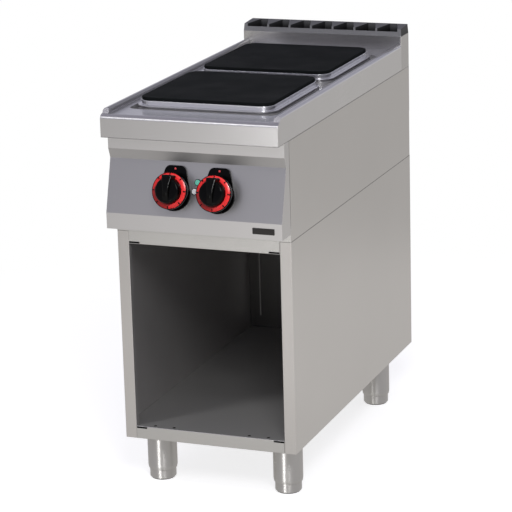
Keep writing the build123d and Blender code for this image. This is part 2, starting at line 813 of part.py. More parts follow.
# ---------------------------------------------------------------- worktop
well_half = half_width - well_side
well_front_y = front_y + well_front
well_back_y = back_y - well_back
well_middle_y = (well_front_y + well_back_y) / 2
well_length = well_back_y - well_front_y
worktop_back_y = flue_front_y - panel_gap
seat_half = plate_half + seat_ledge
seat_radius = plate_radius + seat_ledge
opening_half = plate_half - plate_body_inset + opening_gap
opening_radius = plate_radius - plate_body_inset + opening_gap
rim_inner = half_width - rim_width

# the nose is an arc that meets the deck level and drops to the lip
nose_radius = (deck_nose ** 2 + deck_rise ** 2) / (2 * deck_rise)
nose_turn = asin(deck_nose / nose_radius)
inner_turn = asin((deck_nose - top_sheet) / (nose_radius - top_sheet))


def nose_arc(wall, turn):
    """Start, middle and end of the nose's arc, a wall's thickness under its outside."""
    reach = nose_radius - wall
    return [(front_y + deck_nose - reach * sin(angle), deck_z - nose_radius + reach * cos(angle))
            for angle in (turn, turn / 2, 0)]


with BuildPart() as worktop:
    with BuildSketch(Plane.YZ):
        with BuildLine():
            ThreePointArc(*nose_arc(0, nose_turn))
            Polyline((front_y + deck_nose, deck_z), (worktop_back_y, deck_z),
                     (worktop_back_y, casing_top_z), (front_y, casing_top_z),
                     (front_y, lip_top_z))
        make_face()
    extrude(amount=half_width, both=True)
    with BuildSketch(Plane.YZ.offset(rim_inner)):
        with BuildLine():
            Polyline((front_y + deck_nose, deck_z), (front_y + deck_nose + rim_nose, rim_top_z),
                     (worktop_back_y, rim_top_z), (worktop_back_y, deck_z), close=True)
        make_face()
    extrude(amount=rim_width)
    with BuildSketch(Plane.YZ.offset(-rim_inner)):
        with BuildLine():
            Polyline((front_y + deck_nose, deck_z), (front_y + deck_nose + rim_nose, rim_top_z),
                     (worktop_back_y, rim_top_z), (worktop_back_y, deck_z), close=True)
        make_face()
    extrude(amount=-rim_width)
    rim_edges = worktop.edges().filter_by(Axis.Y).group_by(Axis.Z)[-1]
    fillet(rim_edges, rim_width * 0.45)
    lip_edge = worktop.edges().filter_by(Axis.X).filter_by(
        lambda edge: abs(edge.center().Y - front_y) < 0.1 and edge.center().Z > casing_top_z + 1)
    fillet(lip_edge, lip_bend)
    # the space inside the skirts, open at the bottom and the back
    with BuildSketch(Plane.YZ):
        with BuildLine():
            inner_nose = ThreePointArc(*nose_arc(top_sheet, inner_turn))
            Polyline(inner_nose @ 1, (worktop_back_y, deck_z - top_sheet),
                     (worktop_back_y, casing_top_z + sheet),
                     (front_y + top_sheet, casing_top_z + sheet), inner_nose @ 0)
        make_face()
    extrude(amount=half_width - top_sheet, both=True, mode=Mode.SUBTRACT)
    slab(-half_width + top_sheet, half_width - top_sheet, front_y + lip_return, worktop_back_y,
         casing_top_z, casing_top_z + sheet, mode=Mode.SUBTRACT)
    # pressed well
    with BuildSketch(Plane.XY.offset(well_floor_z - top_sheet)):
        with Locations((0, well_middle_y)):
            RectangleRounded(2 * (well_half + top_sheet), well_length + 2 * top_sheet,
                             well_radius + top_sheet)
    extrude(amount=well_depth)
    with BuildSketch(Plane.XY.offset(well_floor_z)):
        with Locations((0, well_middle_y)):
            RectangleRounded(2 * well_half, well_length, well_radius)
    extrude(amount=well_depth + top_sheet, mode=Mode.SUBTRACT)
    # raised seat and opening for each plate
    for plate_y in plate_ys:
        with BuildSketch(Plane.XY.offset(well_floor_z - top_sheet)):
            with Locations((0, plate_y)):
                RectangleRounded(2 * seat_half, 2 * seat_half, seat_radius)
        extrude(amount=seat_z - well_floor_z + top_sheet)
        with BuildSketch(Plane.XY.offset(well_floor_z - top_sheet)):
            with Locations((0, plate_y)):
                RectangleRounded(2 * (seat_half - top_sheet), 2 * (seat_half - top_sheet),
                                 seat_radius - top_sheet)
        extrude(amount=seat_z - well_floor_z, mode=Mode.SUBTRACT)
        with BuildSketch(Plane.XY.offset(well_floor_z)):
            with Locations((0, plate_y)):
                RectangleRounded(2 * opening_half, 2 * opening_half, opening_radius)
        extrude(amount=seat_z - well_floor_z, mode=Mode.SUBTRACT)
save(worktop, "worktop")

# ---------------------------------------------------------------- flue
with BuildPart() as flue_box:
    slab(-half_width, half_width, flue_front_y, back_y, casing_top_z, flue_top_z)
    fillet(flue_box.edges().filter_by(Axis.Z), bend)
    slab(-half_width + sheet, half_width - sheet, flue_front_y + sheet, back_y - sheet,
         casing_top_z, flue_top_z - sheet, mode=Mode.SUBTRACT)
    slab(-half_width + flue_flange, half_width - flue_flange, flue_front_y + flue_flange,
         back_y - flue_flange, flue_top_z - sheet, flue_top_z, mode=Mode.SUBTRACT)
save(flue_box, "flue_box")

grille_half = half_width - loose_gap / 2
cell_pitch = 2 * (grille_half - cell_end) / cell_count
cell_front_half = (cell_pitch - cell_rib) / 2
cell_back_half = cell_front_half - cell_taper
lug_spread = half_width - lug_inset
grille_front_y = flue_front_y + loose_gap / 2
grille_back_y = back_y - loose_gap / 2
with BuildPart() as flue_grille:
    with BuildSketch(Plane.YZ):
        with BuildLine():
            Polyline((grille_front_y, flue_top_z),
                     (grille_front_y + grille_lean, flue_top_z + grille_front_height),
                     (grille_back_y, flue_top_z + grille_back_height),
                     (grille_back_y, flue_top_z), close=True)
        make_face()
    extrude(amount=grille_half, both=True)
    for side in (-1, 1):
        with BuildSketch(Plane.XZ.offset(-grille_front_y)):
            with BuildLine():
                Polyline((side * grille_half, flue_top_z),
                         (side * (grille_half + grille_wall), flue_top_z),
                         (side * (grille_half + grille_wall), flue_top_z + grille_back_height),
                         (side * (grille_half - grille_lean), flue_top_z + grille_back_height),
                         close=True)
            make_face()
        extrude(amount=-flue_depth, mode=Mode.SUBTRACT)
    for n in range(cell_count):
        cell_x = (n - (cell_count - 1) / 2) * cell_pitch
        cell_front_y = grille_front_y + grille_wall
        cell_back_y = grille_back_y - grille_wall
        with BuildSketch(Plane.XY.offset(flue_top_z)):
            with BuildLine():
                Polyline((cell_x - cell_front_half, cell_front_y),
                         (cell_x + cell_front_half, cell_front_y),
                         (cell_x + cell_back_half, cell_back_y),
                         (cell_x - cell_back_half, cell_back_y), close=True)
            make_face()
        extrude(amount=grille_back_height, mode=Mode.SUBTRACT)
        slab(cell_x - cell_front_half, cell_x + cell_front_half,
             grille_front_y - 1.0, cell_front_y + 1.0, flue_top_z + grille_sill,
             flue_top_z + grille_back_height, mode=Mode.SUBTRACT)
    for side in (-1, 1):
        slab(side * (lug_spread - lug_width / 2), side * (lug_spread + lug_width / 2),
             back_y - flue_flange - loose_gap - lug_length,
             back_y - flue_flange - loose_gap,
             flue_top_z - lug_height, flue_top_z)
save(flue_grille, "flue_grille")


# ---------------------------------------------------------------- hot plates
def hot_plate(name, y):
    """Cast plate: edge flange, body, and the pocket underneath for the heating elements."""
    with BuildPart() as plate:
        with BuildSketch(Plane.XY.offset(plate_edge_z)):
            with Locations((0, y)):
                RectangleRounded(plate_size, plate_size, plate_radius)
        extrude(amount=plate_edge)
        fillet(plate.edges().group_by(Axis.Z)[-1], plate_edge_round)
        with BuildSketch(Plane.XY.offset(plate_bottom_z)):
            with Locations((0, y)):
                RectangleRounded(plate_size - 2 * plate_body_inset,
                                 plate_size - 2 * plate_body_inset,
                                 plate_radius - plate_body_inset)
        extrude(amount=plate_body_depth)
        with BuildSketch(Plane.XY.offset(plate_bottom_z)):
            with Locations((0, y)):
                RectangleRounded(plate_size - 2 * plate_pocket_inset,
                                 plate_size - 2 * plate_pocket_inset,
                                 plate_radius - plate_body_inset)
                Circle(boss_radius, mode=Mode.SUBTRACT)
        extrude(amount=plate_pocket_depth, mode=Mode.SUBTRACT)
        with Locations((0, y, plate_bottom_z)):
            Cylinder(stud_radius + running_gap, stud_engagement, mode=Mode.SUBTRACT,
                     align=(Align.CENTER, Align.CENTER, Align.MIN))
    save(plate, name)


def plate_ring(name, y):
    """Stainless overflow ring between a plate's edge and its seat."""
    outer = plate_size + 2 * ring_stand
    inner = plate_size - 2 * plate_body_inset + 2 * loose_gap / 2
    with BuildPart() as ring:
        with BuildSketch(Plane.XY.offset(seat_z)):
            with Locations((0, y)):
                RectangleRounded(outer, outer, plate_radius + ring_stand)
                RectangleRounded(inner, inner, plate_radius - plate_body_inset,
                                 mode=Mode.SUBTRACT)
        extrude(amount=ring_height)
        with BuildSketch(Plane.XY.offset(seat_z + ring_wall)):
            with Locations((0, y)):
                RectangleRounded(outer - 2 * ring_wall, outer - 2 * ring_wall,
                                 plate_radius + ring_stand - ring_wall)
        extrude(amount=ring_height - 2 * ring_wall, mode=Mode.SUBTRACT)
    save(ring, name)


for position, plate_y in zip(("front", "rear"), plate_ys):
    hot_plate(f"hot_plate_{position}", plate_y)
    plate_ring(f"plate_ring_{position}", plate_y)

coil_z = plate_bottom_z + plate_pocket_depth - coil_radius - panel_gap
with BuildPart() as heating_elements:
    for plate_y in plate_ys:
        for half in coil_halves:
            with BuildLine():
                loop = FilletPolyline((coil_gap / 2, plate_y - half, coil_z),
                                      (half, plate_y - half, coil_z),
                                      (half, plate_y + half, coil_z),
                                      (-half, plate_y + half, coil_z),
                                      (-half, plate_y - half, coil_z),
                                      (-coil_gap / 2, plate_y - half, coil_z),
                                      radius=coil_bend)
            with BuildSketch(Plane(origin=loop @ 0, z_dir=loop % 0)):
                Circle(coil_radius)
            sweep(path=loop)
save(heating_elements, "heating_elements")

cover_size = plate_size - 2 * plate_body_inset - 2.0
cover_z = plate_bottom_z - thin_sheet
with BuildPart() as plate_covers:
    with BuildSketch(Plane.XY.offset(cover_z)):
        with Locations([(0, y) for y in plate_ys]):
            RectangleRounded(cover_size, cover_size, plate_radius - plate_body_inset)
            Circle(stud_radius + loose_gap, mode=Mode.SUBTRACT)
    extrude(amount=thin_sheet)
save(plate_covers, "plate_covers")

# A bar under each plate bears on the underside of the well floor and is drawn up by a nut.
clamp_top_z = well_floor_z - top_sheet
clamp_half = seat_half + clamp_overlap
stud_bottom_z = plate_bottom_z + stud_engagement - stud_length
with BuildPart() as clamp_bars:
    for plate_y in plate_ys:
        slab(-clamp_half, clamp_half, plate_y - clamp_width / 2, plate_y + clamp_width / 2,
             clamp_top_z - clamp_thickness, clamp_top_z)
        with Locations((0, plate_y, clamp_top_z)):
            Hole(stud_radius + loose_gap / 2, depth=2 * clamp_thickness)
save(clamp_bars, "clamp_bars")

with BuildPart() as plate_studs:
    with Locations([(0, y, stud_bottom_z) for y in plate_ys]):
        Cylinder(stud_radius, stud_length - running_gap,
                 align=(Align.CENTER, Align.CENTER, Align.MIN))
save(plate_studs, "plate_studs")

with BuildPart() as plate_nuts:
    with BuildSketch(Plane.XY.offset(clamp_top_z - clamp_thickness)):
        with Locations([(0, y) for y in plate_ys]):
            RegularPolygon(nut_flats / 2, 6, major_radius=False)
            Circle(stud_radius + running_gap, mode=Mode.SUBTRACT)
    extrude(amount=-nut_height)
save(plate_nuts, "plate_nuts")

terminal_ys = [y + terminal_offset for y in plate_ys]
terminal_bottom_z = cover_z - terminal_size[2]
with BuildPart() as plate_terminals:
    for terminal_y in terminal_ys:
        with Locations((0, terminal_y, cover_z)):
            Box(*terminal_size, align=(Align.CENTER, Align.CENTER, Align.MAX))
        with Locations((0, terminal_y, terminal_bottom_z)):
            with GridLocations(tab_pitch, 2 * tab_pitch, 4, 1):
                Box(*tab_size, align=(Align.CENTER, Align.CENTER, Align.MAX))
save(plate_terminals, "plate_terminals")

# ---------------------------------------------------------------- services
gland_face_y = step_y + sheet
with BuildPart() as cable_gland:
    with BuildSketch(Plane.XZ.offset(-(gland_face_y + gland_out))):
        with Locations((gland_x, gland_z)):
            Circle(gland_radius)
    extrude(amount=gland_out + sheet + gland_in)
    with BuildSketch(Plane.XZ.offset(-gland_face_y)):
        with Locations((gland_x, gland_z)):
            RegularPolygon(gland_flange_radius, 6)
    extrude(amount=-gland_out / 2)
    with BuildSketch(Plane.XZ.offset(-step_y)):
        with Locations((gland_x, gland_z)):
            RegularPolygon(gland_flange_radius, 6)
    extrude(amount=gland_nut_height)
    with BuildSketch(Plane.XZ.offset(-(gland_face_y + gland_out))):
        with Locations((gland_x, gland_z)):
            Circle(gland_bore)
    extrude(amount=gland_out + sheet + gland_in, mode=Mode.SUBTRACT)
save(cable_gland, "cable_gland")

with BuildPart() as equipotential_stud:
    with BuildSketch(Plane.XZ.offset(-step_y)):
        with Locations((earth_x, gland_z)):
            Circle(earth_neck_radius)
    extrude(amount=-(sheet + earth_nut_height + earth_relief))
    with BuildSketch(Plane.XZ.offset(-(gland_face_y + earth_nut_height + earth_relief))):
        with Locations((earth_x, gland_z)):
            Circle(earth_radius)
    extrude(amount=-earth_length)
    with BuildSketch(Plane.XZ.offset(-gland_face_y)):
        with Locations((earth_x, gland_z)):
            RegularPolygon(earth_nut_radius, 6)
    extrude(amount=-earth_nut_height)
    with BuildSketch(Plane.XZ.offset(-step_y)):
        with Locations((earth_x, gland_z)):
            RegularPolygon(earth_nut_radius, 6)
    extrude(amount=earth_nut_height)
save(equipotential_stud, "equipotential_stud")

block_y = step_y - block_inset
with BuildPart() as mains_terminal_block:
    with Locations((gland_x, block_y, floor_top_z)):
        Box(*block_size, align=(Align.CENTER, Align.CENTER, Align.MIN))
    with Locations((gland_x, block_y, floor_top_z + block_size[2])):
        with GridLocations(block_size[0] / block_slots, 1, block_slots, 1):
            Box(block_slot_width, block_size[1] / 2, block_slot_depth, mode=Mode.SUBTRACT,
                align=(Align.CENTER, Align.CENTER, Align.MAX))
save(mains_terminal_block, "mains_terminal_block")

with BuildPart() as machine_screws:
    for side in (-1, 1):
        for z in cover_screw_zs:
            with BuildSketch(Plane.XZ.offset(-case_back_y)):
                with Locations((side * cover_screw_x, z)):
                    Circle(screw_head_radius)
            extrude(amount=-screw_head_height)
            with BuildSketch(Plane.XZ.offset(-case_back_y)):
                with Locations((side * cover_screw_x, z)):
                    Circle(screw_radius)
            extrude(amount=screw_length)
    for knob_x in knob_xs:
        with BuildSketch(fascia):
            with Locations((knob_x - switch_screw_spread / 2, knob_up),
                           (knob_x + switch_screw_spread / 2, knob_up)):
                Circle(screw_head_radius)
        extrude(amount=screw_head_height)
        with BuildSketch(fascia):
            with Locations((knob_x - switch_screw_spread / 2, knob_up),
                           (knob_x + switch_screw_spread / 2, knob_up)):
                Circle(screw_radius)
        extrude(amount=-screw_length)
save(machine_screws, "machine_screws")

# Cables: block to the switches' lower tabs, and the upper tabs to the plates' terminals.
tab_end = -sheet - switch_size[2] - tab_size[2]
tab_bottom_z = terminal_bottom_z - tab_size[2]
block_floor_z = floor_top_z + block_size[2] - block_slot_depth


def cable_ends(x, up):
    """End of a switch's tab, and the point where its cable starts to bend."""
    return (fascia.from_local_coords(Vector(x, up, tab_end)),
            fascia.from_local_coords(Vector(x, up, tab_end - cable_tail)))


with BuildPart() as wiring_harness:
    for n, knob_x in enumerate(knob_xs):
        upper_start, upper_turn = cable_ends(knob_x, knob_up + tab_pitch)
        lower_start, lower_turn = cable_ends(knob_x, knob_up - tab_pitch)
        tab_x = (n - 0.5) * 3 * tab_pitch
        slot_x = gland_x + (n - 0.5) * 2 * block_size[0] / block_slots
        with BuildLine():
            supply = FilletPolyline(upper_start, upper_turn,
                                    (tab_x, terminal_ys[n], upper_turn.Z),
                                    (tab_x, terminal_ys[n], tab_bottom_z), radius=cable_bend)
        with BuildSketch(Plane(origin=supply @ 0, z_dir=supply % 0)):
            Circle(cable_radius)
        sweep(path=supply)
        with BuildLine():
            feed = FilletPolyline(lower_start, lower_turn,
                                  (slot_x, block_y, lower_turn.Z),
                                  (slot_x, block_y, block_floor_z), radius=cable_bend)
        with BuildSketch(Plane(origin=feed @ 0, z_dir=feed % 0)):
            Circle(cable_radius)
        sweep(path=feed)
save(wiring_harness, "wiring_harness")
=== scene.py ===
import json
import math
import bpy
import bmesh
from mathutils import Matrix, Vector


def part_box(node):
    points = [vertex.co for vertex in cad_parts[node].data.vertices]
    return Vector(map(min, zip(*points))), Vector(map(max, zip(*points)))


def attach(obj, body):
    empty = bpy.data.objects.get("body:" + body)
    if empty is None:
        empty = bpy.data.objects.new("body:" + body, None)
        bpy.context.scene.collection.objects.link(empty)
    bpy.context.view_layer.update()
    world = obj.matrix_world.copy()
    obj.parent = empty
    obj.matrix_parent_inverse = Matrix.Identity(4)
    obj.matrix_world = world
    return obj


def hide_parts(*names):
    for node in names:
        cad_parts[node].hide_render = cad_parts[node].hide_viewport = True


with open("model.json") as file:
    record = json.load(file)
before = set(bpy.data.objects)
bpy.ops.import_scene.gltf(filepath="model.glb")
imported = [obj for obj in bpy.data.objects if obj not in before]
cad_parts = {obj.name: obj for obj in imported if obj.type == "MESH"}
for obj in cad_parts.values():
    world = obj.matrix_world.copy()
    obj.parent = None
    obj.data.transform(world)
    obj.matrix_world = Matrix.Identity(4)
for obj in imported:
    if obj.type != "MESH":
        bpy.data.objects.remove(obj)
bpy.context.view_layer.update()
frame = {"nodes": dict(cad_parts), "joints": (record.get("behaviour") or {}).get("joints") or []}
nodes = frame["nodes"]
scene = bpy.context.scene
scene.view_settings.view_transform = "Standard"


# ---------------------------------------------------------------- materials
class Nodes:
    """A node tree, with a short way to add nodes whose sockets get values or links."""

    def __init__(self, tree):
        self.tree = tree

    def add(self, kind, sockets=None, **props):
        node = self.tree.nodes.new(kind)
        for key, value in props.items():
            setattr(node, key, value)
        for key, value in (sockets or {}).items():
            if hasattr(value, "is_output"):
                self.link(value, node.inputs[key])
            else:
                node.inputs[key].default_value = value
        return node

    def link(self, a, b):
        self.tree.links.new(a, b)

    def math(self, how, a, b=0.0):
        return self.add("ShaderNodeMath", {0: a, 1: b}, operation=how).outputs[0]

    def ramp(self, value, start, end, low, high):
        """A number that goes evenly from low to high while value goes from start to end."""
        return self.add("ShaderNodeMapRange", {"Value": value, "From Min": start, "From Max": end,
                                               "To Min": low, "To Max": high}).outputs[0]

    def spread(self, noise, low, high):
        """A noise's usual values stretched over a range."""
        return self.ramp(noise, 0.3, 0.7, low, high)

    def dim(self, mask, share):
        """One outside a mask, and less by a share within it."""
        return self.math("SUBTRACT", 1.0, self.math("MULTIPLY", mask, share))


class Mat(Nodes):
    """A material with a Principled shader."""

    def __init__(self, name, color, rough, metallic=0.0, **sockets):
        self.mat = bpy.data.materials.new(name)
        self.mat.use_nodes = True
        super().__init__(self.mat.node_tree)
        self.bsdf = self.tree.nodes["Principled BSDF"]
        self.bsdf.inputs["Base Color"].default_value = (*color, 1.0)
        self.bsdf.inputs["Roughness"].default_value = rough
        self.bsdf.inputs["Metallic"].default_value = metallic
        for key, value in sockets.items():
            self.bsdf.inputs[key.replace("_", " ")].default_value = value
        self.color = color
        self.film = None  # a shade may set it to a mask that makes the surface rougher

    def coords(self, scale=(1, 1, 1)):
        source = self.add("ShaderNodeTexCoord").outputs["Object"]
        return self.add("ShaderNodeMapping", {"Vector": source, "Scale": scale}).outputs[0]

    def noise(self, where, scale, detail=3.0):
        return self.add("ShaderNodeTexNoise",
                        {"Vector": where, "Scale": scale, "Detail": detail}).outputs["Fac"]

    def tone(self, shade):
        """Base colour times a varying shade."""
        gray = self.add("ShaderNodeCombineColor", {0: shade, 1: shade, 2: shade}).outputs[0]
        node = self.add("ShaderNodeMix", {0: 1.0, 6: (*self.color, 1.0), 7: gray},
                        data_type="RGBA", blend_type="MULTIPLY")
        self.link(node.outputs[2], self.bsdf.inputs["Base Color"])

    def bump(self, height, distance, strength=1.0, bevel=0.0):
        node = self.add("ShaderNodeBump", {"Height": height, "Distance": distance, "Strength": strength})
        if bevel:
            edge = self.add("ShaderNodeBevel", {"Radius": bevel}, samples=4)
            self.link(edge.outputs[0], node.inputs["Normal"])
        self.link(node.outputs[0], self.bsdf.inputs["Normal"])


def brushed(name, color, rough, grain, bevel=0.0008, worn=0.04, shade=None, relief=0.3):
    """Ground stainless sheet: fine grain along one direction, soft clouding, finger-dull patches."""
    m = Mat(name, color, rough, 1.0)
    fine = m.noise(m.coords(grain), 900.0, 2.0)
    cloud = m.noise(m.coords(), 3.0, 4.0)
    tint = m.math("MULTIPLY", m.spread(fine, 1.0 - worn, 1.0), m.spread(cloud, 0.97, 1.02))
    if shade:
        tint = m.math("MULTIPLY", tint, shade(m))
    m.tone(tint)
    gloss = m.math("ADD", m.spread(fine, rough - 0.02, rough + 0.02), m.spread(cloud, -0.012, 0.016))
    if m.film:
        gloss = m.math("ADD", gloss, m.film)
    m.link(gloss, m.bsdf.inputs["Roughness"])
    m.bump(fine, 0.00001, relief, bevel)
    return m


def plastic(name, color, rough, texture=0.00004, scale=900.0, **sockets):
    """Moulded plastic with a fine skin."""
    m = Mat(name, color, rough, 0.0, **sockets)
    grain = m.noise(m.coords(), scale, 3.0)
    cloud = m.noise(m.coords(), 40.0, 2.0)
    m.tone(m.spread(cloud, 0.93, 1.04))
    m.link(m.spread(cloud, rough - 0.03, rough + 0.05), m.bsdf.inputs["Roughness"])
    m.bump(grain, texture, 0.4)
    return m


# places of the shades, in metres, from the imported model
casing_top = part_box("casing_side_right")[1][2]
cabinet_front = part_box("cabinet_side_right")[0][1]
outer_x, _, cabinet_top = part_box("cabinet_side_right")[1]
deck_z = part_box("plate_ring_front")[0][2] - 0.004
well_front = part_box("plate_ring_front")[0][1] - 0.025
well_side = outer_x - 0.022
grille_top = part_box("flue_grille")[1][2]
grille_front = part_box("flue_grille")[0][1] + 0.0025
# the shelf's hinge-pin holes, and the radius of the painted shade round each
pin_hole_xs = (0.0885, 0.133)
pin_hole_y = cabinet_front + 0.0105
pin_hole_shade_radius = 0.0038
seam_half = 0.0009
face_gap = 0.0008   # a face further in than this isn't the outer face


def xyz(m):
    """The three coordinates of a point, in metres."""
    return m.add("ShaderNodeSeparateXYZ", {0: m.coords()}).outputs


def facing(m):
    """The three parts of a face's normal."""
    normal = m.add("ShaderNodeNewGeometry").outputs["Normal"]
    return m.add("ShaderNodeSeparateXYZ", {0: normal}).outputs


def joint_dirt_and_shade(m):
    """Dark lines at the joints between the cabinet, the casing and the worktop: dirt, and a painted shade of
    the gaps there.
    """
    z = xyz(m)["Z"]
    lines = [m.add("ShaderNodeMath", {0: z, 1: level, 2: seam_half}, operation="COMPARE").outputs[0]
             for level in (casing_top, cabinet_top)]
    # dirt and painted shade: the joint lines are 72% darker
    return m.dim(m.math("MAXIMUM", *lines), 0.72)


def panel_film_and_shade(m):
    """Faces that look down keep a dull film of grease that makes them rougher, and a painted shade darkens
    them; a painted shade also darkens the sloping fascia, with every other face that looks up.
    """
    up = facing(m)["Z"]
    m.film = m.ramp(up, -0.30, -0.15, 0.20, 0.0)
    # painted shade: faces that look down at 80%, faces that look up 0.22 darker
    return m.math("SUBTRACT", m.ramp(up, -0.30, -0.15, 0.80, 1.0), m.ramp(up, 0.10, 0.20, 0.0, 0.22))


def well_rim_and_joint_shade(m):
    """Less metallic steel in the drawn well round the plates and rougher inner slopes of the side rims, both
    darkened by a painted shade, and the dark joint lines.
    """
    axes = xyz(m)
    within = m.math("MULTIPLY", m.math("LESS_THAN", m.math("ABSOLUTE", axes["X"]), well_side),
                    m.math("GREATER_THAN", axes["Y"], well_front))
    well = m.math("MULTIPLY", m.math("LESS_THAN", axes["Z"], deck_z - face_gap), within)
    m.link(m.dim(well, 0.45), m.bsdf.inputs["Metallic"])
    inward = m.math("LESS_THAN", m.math("MULTIPLY", axes["X"], facing(m)["X"]), -0.015)
    slope = m.math("MULTIPLY", inward, m.math("GREATER_THAN", axes["Z"], deck_z + face_gap))
    m.film = m.math("MULTIPLY", slope, 0.14)
    # painted shade: the well 25% darker, the rims' inner slopes 38% darker
    shade = m.math("SUBTRACT", m.dim(well, 0.25), m.math("MULTIPLY", slope, 0.38))
    return m.math("MULTIPLY", shade, joint_dirt_and_shade(m))


def inside(m):
    """Duller, unbrushed, less metallic steel on the faces within the cabinet, darkened a little by a painted
    shade, and the dark joint lines outside.
    """
    axes = xyz(m)
    near = m.math("LESS_THAN", m.math("ABSOLUTE", axes["X"]), outer_x - face_gap)
    behind = m.math("GREATER_THAN", axes["Y"], cabinet_front + face_gap)
    hidden = m.math("MULTIPLY", near, behind)
    m.link(m.dim(hidden, 0.22), m.bsdf.inputs["Metallic"])
    m.film = m.math("MULTIPLY", hidden, 0.20)
    # painted shade: the faces within the cabinet 10% darker
    return m.math("MULTIPLY", m.dim(hidden, 0.10), joint_dirt_and_shade(m))


def shelf_hole_shade(m):
    """The shelf's finish inside the cabinet, with a painted shade round its four hinge-pin holes that makes
    them read as dark holes.
    """
    axes = xyz(m)
    across = m.math("ABSOLUTE", axes["X"])
    along = m.math("SUBTRACT", axes["Y"], pin_hole_y)
    hole_shades = []
    for hole_x in pin_hole_xs:
        apart = m.add("ShaderNodeCombineXYZ", {"X": m.math("SUBTRACT", across, hole_x), "Y": along})
        span = m.add("ShaderNodeVectorMath", {0: apart.outputs[0]}, operation="LENGTH")
        hole_shades.append(m.math("LESS_THAN", span.outputs["Value"], pin_hole_shade_radius))
    return m.math("MULTIPLY", m.dim(m.math("MAXIMUM", *hole_shades), 0.93), inside(m))


steel = brushed("satin_steel", (0.575, 0.57, 0.56), 0.28, (1, 12, 12))
shelf_steel = brushed("shelf_steel", (0.52, 0.515, 0.506), 0.30, (1, 12, 12), shade=shelf_hole_shade)
side_steel = brushed("satin_steel_sides", (0.56, 0.545, 0.535), 0.30, (12, 1, 12), shade=inside)
deck_steel = brushed("worktop_steel", (0.60, 0.594, 0.60), 0.25, (1, 12, 12), shade=well_rim_and_joint_shade)
panel_steel = brushed("panel_steel", (0.58, 0.57, 0.57), 0.38, (1, 12, 12), shade=panel_film_and_shade)
flue_steel = brushed("flue_steel", (0.50, 0.492, 0.488), 0.26, (1, 12, 12))
# the cabinet's back wall is steel darkened by a painted shade to about a fifth of the other steel
back_steel_painted_shade = brushed("cabinet_back_painted_shade", (0.125, 0.122, 0.118), 0.42, (12, 12, 1))
polished = brushed("polished_steel", (0.86, 0.865, 0.89), 0.20, (6, 6, 1), 0.0020, 0.02)
leg_steel = brushed("leg_steel", (0.52, 0.51, 0.495), 0.42, (1, 1, 9), 0.0014, 0.03, relief=0.1)
leg_steel.bsdf.inputs["Anisotropic"].default_value = 0.9
leg_steel.link(leg_steel.add("ShaderNodeCombineXYZ", {"Z": 1.0}).outputs[0], leg_steel.bsdf.inputs["Tangent"])
galvanised = Mat("galvanised_steel", (0.45, 0.46, 0.47), 0.5, 0.9)
spangle = galvanised.add("ShaderNodeTexVoronoi", {"Vector": galvanised.coords(), "Scale": 90.0})
galvanised.tone(galvanised.spread(spangle.outputs["Color"], 0.86, 1.05))
galvanised.bump(spangle.outputs["Distance"], 0.00005, 0.3, 0.0006)

iron = Mat("seasoned_cast_iron", (0.0078, 0.0090, 0.0092), 0.58, 0.0, Specular_IOR_Level=0.015)
grit = iron.noise(iron.coords(), 700.0, 4.0)
burn = iron.noise(iron.coords(), 9.0, 5.0)
iron.tone(iron.math("MULTIPLY", iron.spread(grit, 0.75, 1.2), iron.spread(burn, 0.88, 1.12)))
iron.link(iron.spread(burn, 0.52, 0.66), iron.bsdf.inputs["Roughness"])
iron.bump(grit, 0.00012, 0.5, 0.001)

grille_iron = Mat("enamelled_iron", (0.085, 0.085, 0.088), 0.5, Specular_IOR_Level=0.35)
pores = grille_iron.noise(grille_iron.coords(), 500.0, 4.0)
# painted shade down in the cells and on the ends, and a painted highlight on the front band
axes = xyz(grille_iron)
depth = grille_iron.ramp(axes["Z"], grille_top - 0.016, grille_top - 0.004, 0.25, 1.0)
band = grille_iron.math("MULTIPLY", grille_iron.math("LESS_THAN", axes["Y"], grille_front), 2.3)
ends = grille_iron.math("GREATER_THAN", grille_iron.math("ABSOLUTE", facing(grille_iron)["X"]), 0.8)
cells = grille_iron.math("MULTIPLY", grille_iron.math("MAXIMUM", depth, band), grille_iron.dim(ends, 0.7))
grille_iron.tone(grille_iron.math("MULTIPLY", grille_iron.spread(pores, 0.8, 1.15), cells))
grille_iron.bump(pores, 0.0001, 0.5, 0.001)

black = plastic("black_plastic", (0.0015, 0.0015, 0.0015), 0.15, 0.00001, Specular_IOR_Level=0.09)
grip_black = plastic("grip_plastic", (0.0012, 0.0012, 0.0012), 0.16, 0.00001, Specular_IOR_Level=0.10)
# near black: a painted shade in the hinge slots, and the print of the dial's ticks
shade_and_tick_black = plastic("slot_shade_and_tick_print", (0.004, 0.004, 0.004), 0.7, 0.0001, 500.0, Specular_IOR_Level=0.05)
dull_black = plastic("matt_black_plastic", (0.012, 0.012, 0.012), 0.6, 0.0001, 500.0)
red = plastic("red_dial", (0.36, 0.011, 0.011), 0.22, 0.00001, Specular_IOR_Level=0.3)
mark_red = plastic("mark_red", (0.75, 0.07, 0.07), 0.35, 0.00002)
green_lens = plastic("green_lens", (0.16, 0.62, 0.46), 0.15, 0.00002)
white_lens = plastic("white_lens", (0.90, 0.90, 0.90), 0.15, 0.00002)
zinc = brushed("zinc_plated", (0.62, 0.62, 0.60), 0.35, (3, 3, 3), 0.0002)
brass = brushed("brass", (0.68, 0.50, 0.22), 0.30, (3, 3, 3), 0.0002)
sheath = brushed("heater_sheath", (0.14, 0.13, 0.12), 0.55, (3, 3, 3), 0.0)
badge = brushed("badge_metal", (0.045, 0.043, 0.043), 0.30, (12, 1, 1), 0.0003)
beige = plastic("switch_plastic", (0.72, 0.68, 0.58), 0.5)
ceramic = plastic("ceramic", (0.80, 0.76, 0.68), 0.2)
cable = plastic("cable_sheath", (0.09, 0.09, 0.10), 0.45)

